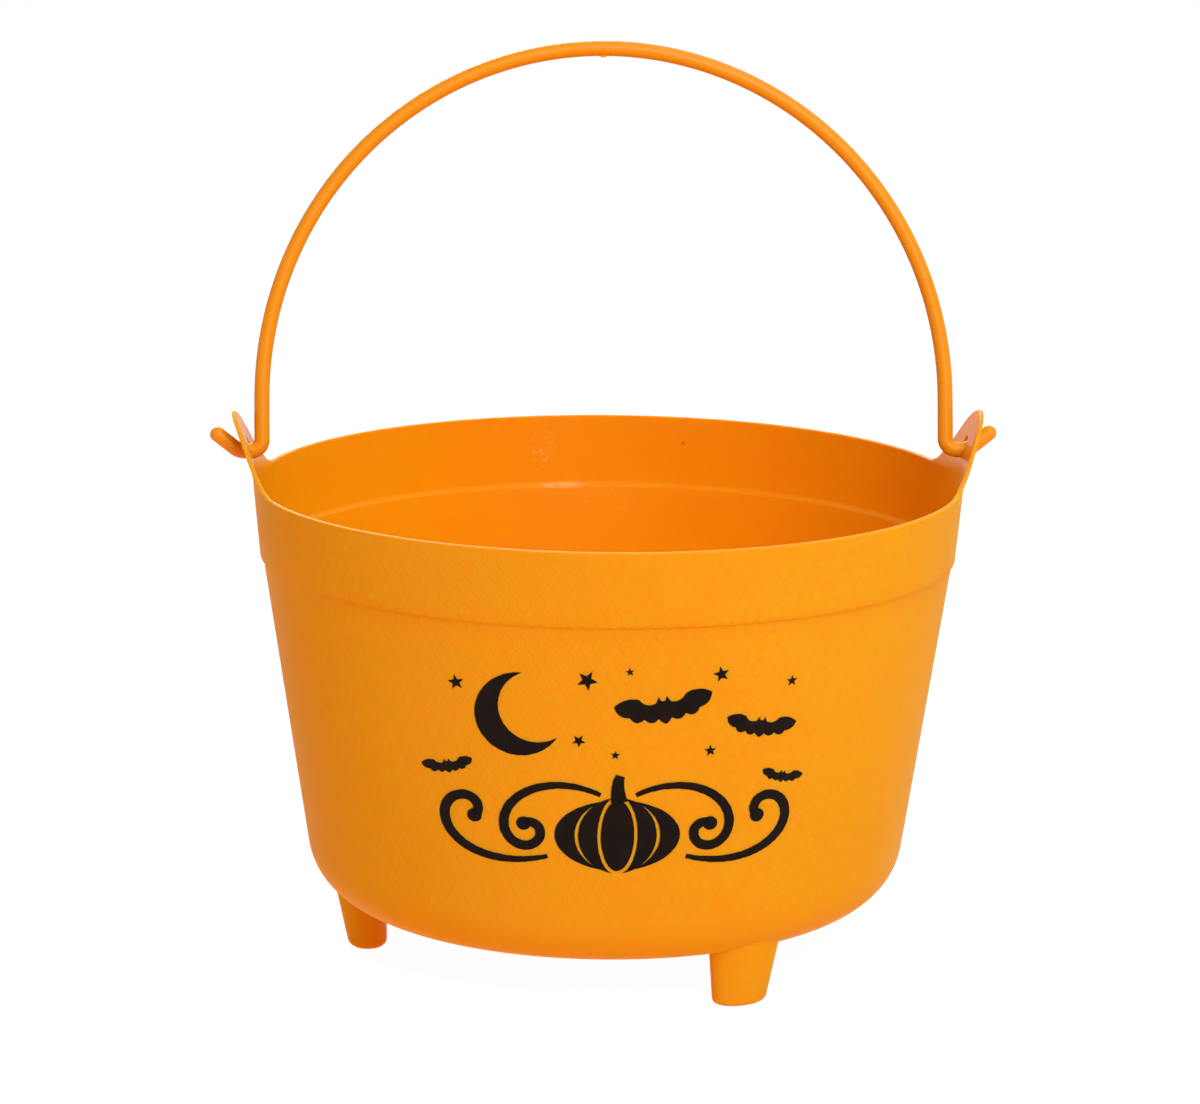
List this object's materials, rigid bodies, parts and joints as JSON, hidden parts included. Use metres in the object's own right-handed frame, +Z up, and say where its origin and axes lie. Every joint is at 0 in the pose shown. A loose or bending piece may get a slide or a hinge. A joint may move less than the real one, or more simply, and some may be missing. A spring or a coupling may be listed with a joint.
{
  "type": "halloween bucket",
  "caption": "Round orange plastic treat bucket with a stepped rim band, two leaf-shaped ears, three hollow feet and a swinging bail handle.",
  "frame": {"origin": "centre of the bucket's round outline on the floor its feet stand on, below the middle of the shell", "axes": "+Z up, the bucket's front faces -Y, the ears and the handle's pivot line lie along X"},
  "size_m": [0.2256, 0.2032, 0.2607],
  "materials": {
    "orange_shell": "satin",
    "orange_rod": "satin"
  },
  "bodies": {
    "bucket_body": {"bucket": "orange_shell"},
    "handle_body": {"handle": "orange_rod"}
  },
  "joints": [
    {"name": "handle_swing", "type": "hinge", "parent": "bucket_body", "child": "handle_body", "pos_m": [0, 0, 0.1461], "axis": [1, 0, 0], "range_deg": [-77.5, 102.5]}
  ]
}
